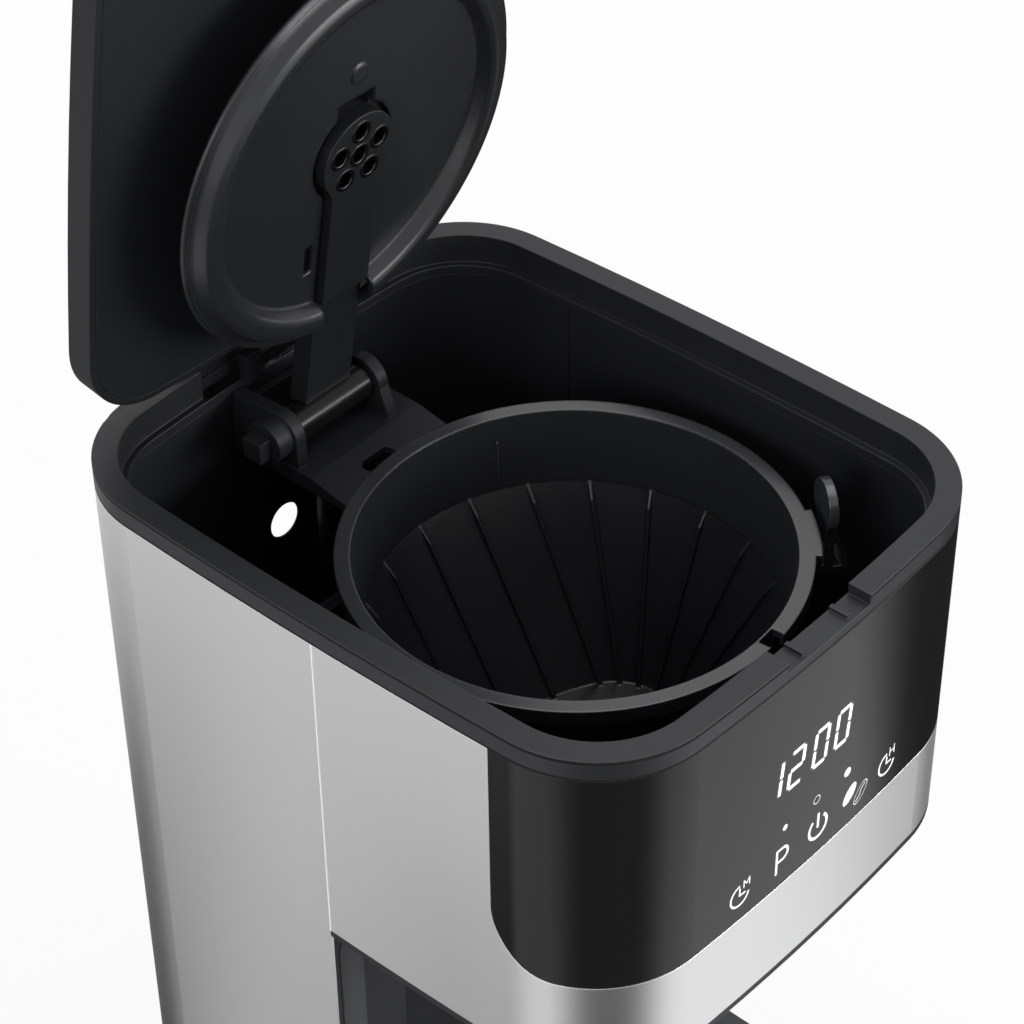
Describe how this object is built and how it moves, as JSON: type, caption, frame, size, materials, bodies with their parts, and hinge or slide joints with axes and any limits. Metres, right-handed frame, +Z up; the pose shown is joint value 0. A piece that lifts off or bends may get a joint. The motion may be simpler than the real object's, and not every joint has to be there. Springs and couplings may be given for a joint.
{
  "type": "drip coffee maker",
  "caption": "Drip coffee maker with a steel-clad head on a tower, a touch panel, a hinged lid, a swinging spray cover, a ribbed filter basket and a hot plate.",
  "frame": {"origin": "on the table under the middle of the body's plan", "axes": "+Z up, +X to the right of someone facing the touch panel, the panel faces -Y"},
  "size_m": [0.18, 0.219, 0.5529],
  "materials": {
    "black_plastic": "satin moulded plastic",
    "lid_plastic": "fine satin moulded plastic",
    "inner_plastic": "satin moulded plastic",
    "filter_plastic": "satin moulded plastic",
    "panel_gloss": "high gloss black",
    "base_plastic": "fine textured moulded plastic",
    "steel_sheet": "brushed stainless steel",
    "hot_plate_coat": "non-stick coat",
    "heater_alloy": "extruded alloy",
    "zinc_steel": "zinc plated steel",
    "pin_steel": "ground steel",
    "spring_steel": "drawn stainless wire",
    "rubber_black": "matte rubber",
    "silicone": "silicone rubber",
    "board_green": "solder resist",
    "white_plastic": "moulded plastic",
    "display_face": "smoked display"
  },
  "bodies": {
    "body": {"base_housing": "base_plastic", "base_plate": "base_plastic", "rubber_feet": "rubber_black", "hot_plate": "hot_plate_coat", "hot_plate_seal": "rubber_black", "flow_heater": "heater_alloy", "heating_element": "zinc_steel", "heater_bracket": "zinc_steel", "thermostat": "zinc_steel", "thermal_fuse": "white_plastic", "power_board": "board_green", "cord_gland": "rubber_black", "tower_housing": "base_plastic", "rear_cover": "black_plastic", "side_cladding_left": "steel_sheet", "side_cladding_right": "steel_sheet", "water_tank": "inner_plastic", "check_valve": "white_plastic", "cold_hose": "silicone", "hot_hose": "silicone", "riser_tube": "inner_plastic", "head_housing": "base_plastic", "head_bottom": "base_plastic", "head_cladding": "steel_sheet", "control_panel": "panel_gloss", "display_board": "board_green", "led_display": "display_face", "touch_pads": "rubber_black", "brew_chamber": "inner_plastic", "top_frame": "black_plastic", "lid_hinge_pin": "pin_steel", "swivel_carrier": "inner_plastic", "swivel_pin": "inner_plastic", "filter_basket": "filter_plastic", "filter_handle": "filter_plastic", "drip_valve_cap": "filter_plastic", "drip_valve_spring": "spring_steel"},
    "lid": {"lid_shell": "lid_plastic", "lid_liner": "lid_plastic"},
    "spray_cover": {"spray_cover": "filter_plastic", "spray_arm": "filter_plastic", "arm_swivel": "panel_gloss"},
    "drip_valve": {"drip_valve": "filter_plastic", "drip_valve_seal": "silicone"}
  },
  "joints": [
    {"name": "lid_hinge", "type": "hinge", "parent": "body", "child": "lid", "pos_m": [0, 0.1059, 0.341], "axis": [-1, 0, 0], "range_deg": [-80.4, 0]},
    {"name": "spray_swing", "type": "hinge", "parent": "body", "child": "spray_cover", "pos_m": [0, 0.0805, 0.3211], "axis": [-1, 0, 0], "range_deg": [-80.4, 0]},
    {"name": "drip_valve_slide", "type": "slide", "parent": "body", "child": "drip_valve", "axis": [0, 0, 1], "range_m": [0, 0.004], "stiffness_N_per_m": 150, "springref_m": -0.004, "deforming": ["drip_valve_spring"]}
  ],
  "couplings": [
    {"joint": "spray_swing", "follows": "lid_hinge", "ratio": 1}
  ]
}
